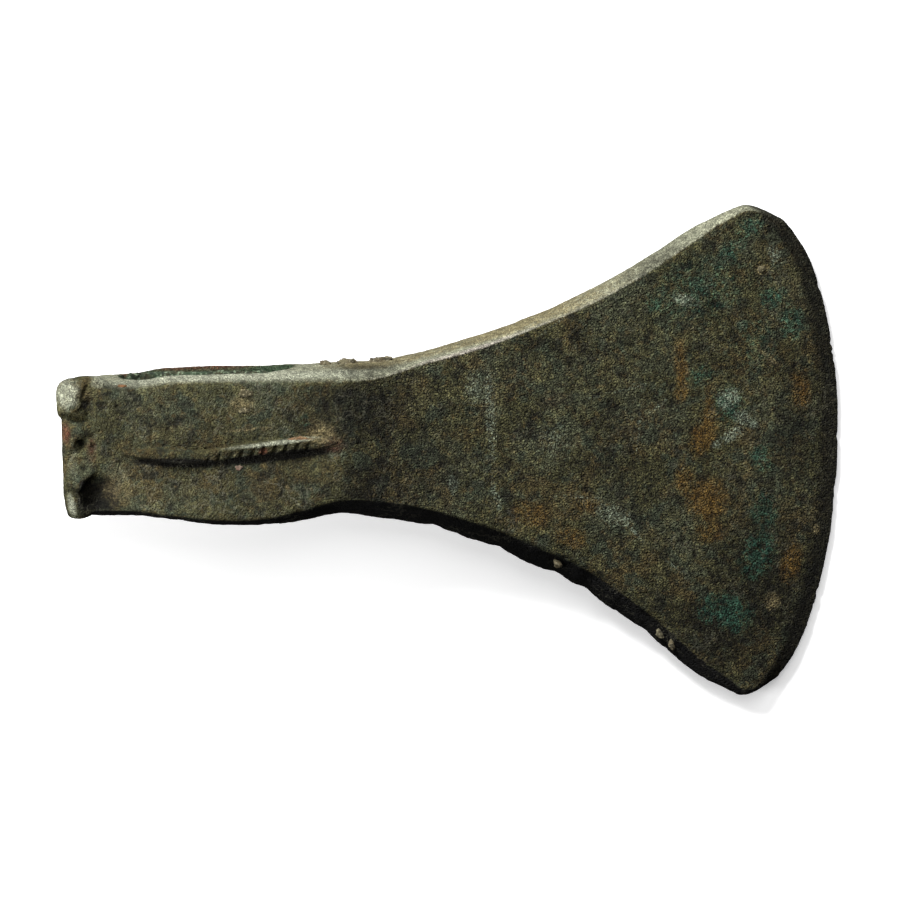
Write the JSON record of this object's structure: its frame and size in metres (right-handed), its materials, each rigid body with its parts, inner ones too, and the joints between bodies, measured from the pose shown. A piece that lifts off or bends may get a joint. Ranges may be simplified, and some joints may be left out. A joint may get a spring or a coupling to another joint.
{
  "type": "bronze axe head",
  "caption": "Ancient cast bronze shaft-hole axe head with a flaring curved blade, a notched rib on the socket, a battered butt and burial crusts.",
  "frame": {"origin": "middle of the footprint, on the surface that the axe lies on", "axes": "+X from the butt to the cutting edge, +Y along the haft hole towards its visible mouth, +Z out of the notched cheek; the axe lies on the flat back of its blade"},
  "size_m": [0.1588, 0.102, 0.0297],
  "materials": {
    "patina_bronze": "dark olive burial patina, finely pitted",
    "malachite_crust": "granular green corrosion crust",
    "brown_earth": "baked-on brown earth",
    "pale_crust": "pale tan lime and earth crust"
  },
  "bodies": {
    "root": {"bronze_casting": "patina_bronze", "hole_wall_crust": "malachite_crust", "seam_flake_1": "brown_earth", "seam_flake_2": "brown_earth", "seam_flake_3": "brown_earth", "arris_spot": "pale_crust", "rib_end_crust": "pale_crust", "rib_crumb": "pale_crust", "cheek_crust_upper": "pale_crust", "cheek_crust_lower": "pale_crust", "blade_tan_spot": "pale_crust", "side_earth_1": "pale_crust", "side_earth_2": "pale_crust", "side_earth_3": "pale_crust", "butt_earth": "brown_earth"}
  },
  "joints": []
}
